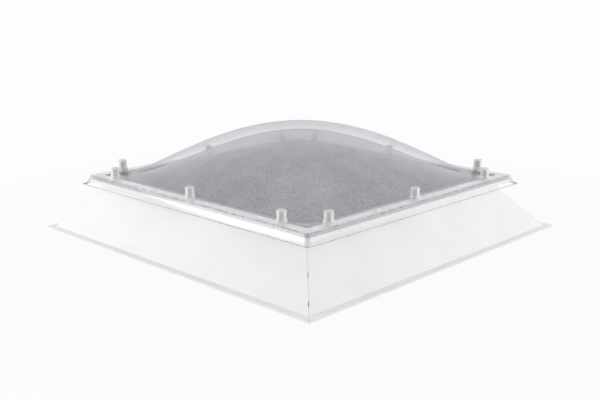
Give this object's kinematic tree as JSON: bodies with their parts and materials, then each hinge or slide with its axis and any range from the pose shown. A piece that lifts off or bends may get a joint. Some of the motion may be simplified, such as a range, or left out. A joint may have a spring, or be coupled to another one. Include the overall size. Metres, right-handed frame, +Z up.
{
  "type": "roof skylight",
  "caption": "Fixed square dome skylight: clear outer and middle skins over a grey patterned inner skin, screwed through capped fixings to a white splayed hollow plastic kerb.",
  "frame": {"origin": "middle of the kerb's underside, on the roof deck", "axes": "+Z up through the dome; -Y out of the kerb's front side and +X out of its right side"},
  "size_m": [1, 1, 0.2925],
  "materials": {
    "kerb_plastic": "white extruded plastic, satin",
    "foam_tape": "closed-cell foam, matt",
    "clear_skin": "clear polycarbonate, polished",
    "patterned_skin": "grey polycarbonate with a fine pebbled pattern",
    "screw_steel": "zinc-plated steel",
    "washer_rubber": "soft pale rubber",
    "cap_plastic": "translucent white plastic, smooth"
  },
  "bodies": {
    "root": {"kerb_front": "kerb_plastic", "inner_seal_front": "foam_tape", "outer_seal_front": "foam_tape", "kerb_right": "kerb_plastic", "inner_seal_right": "foam_tape", "outer_seal_right": "foam_tape", "kerb_back": "kerb_plastic", "inner_seal_back": "foam_tape", "outer_seal_back": "foam_tape", "kerb_left": "kerb_plastic", "inner_seal_left": "foam_tape", "outer_seal_left": "foam_tape", "inner_skin": "patterned_skin", "middle_skin": "clear_skin", "outer_skin": "clear_skin", "fixing_screws": "screw_steel", "sealing_washers": "washer_rubber", "cap_bases": "cap_plastic", "screw_caps": "cap_plastic"}
  },
  "joints": []
}
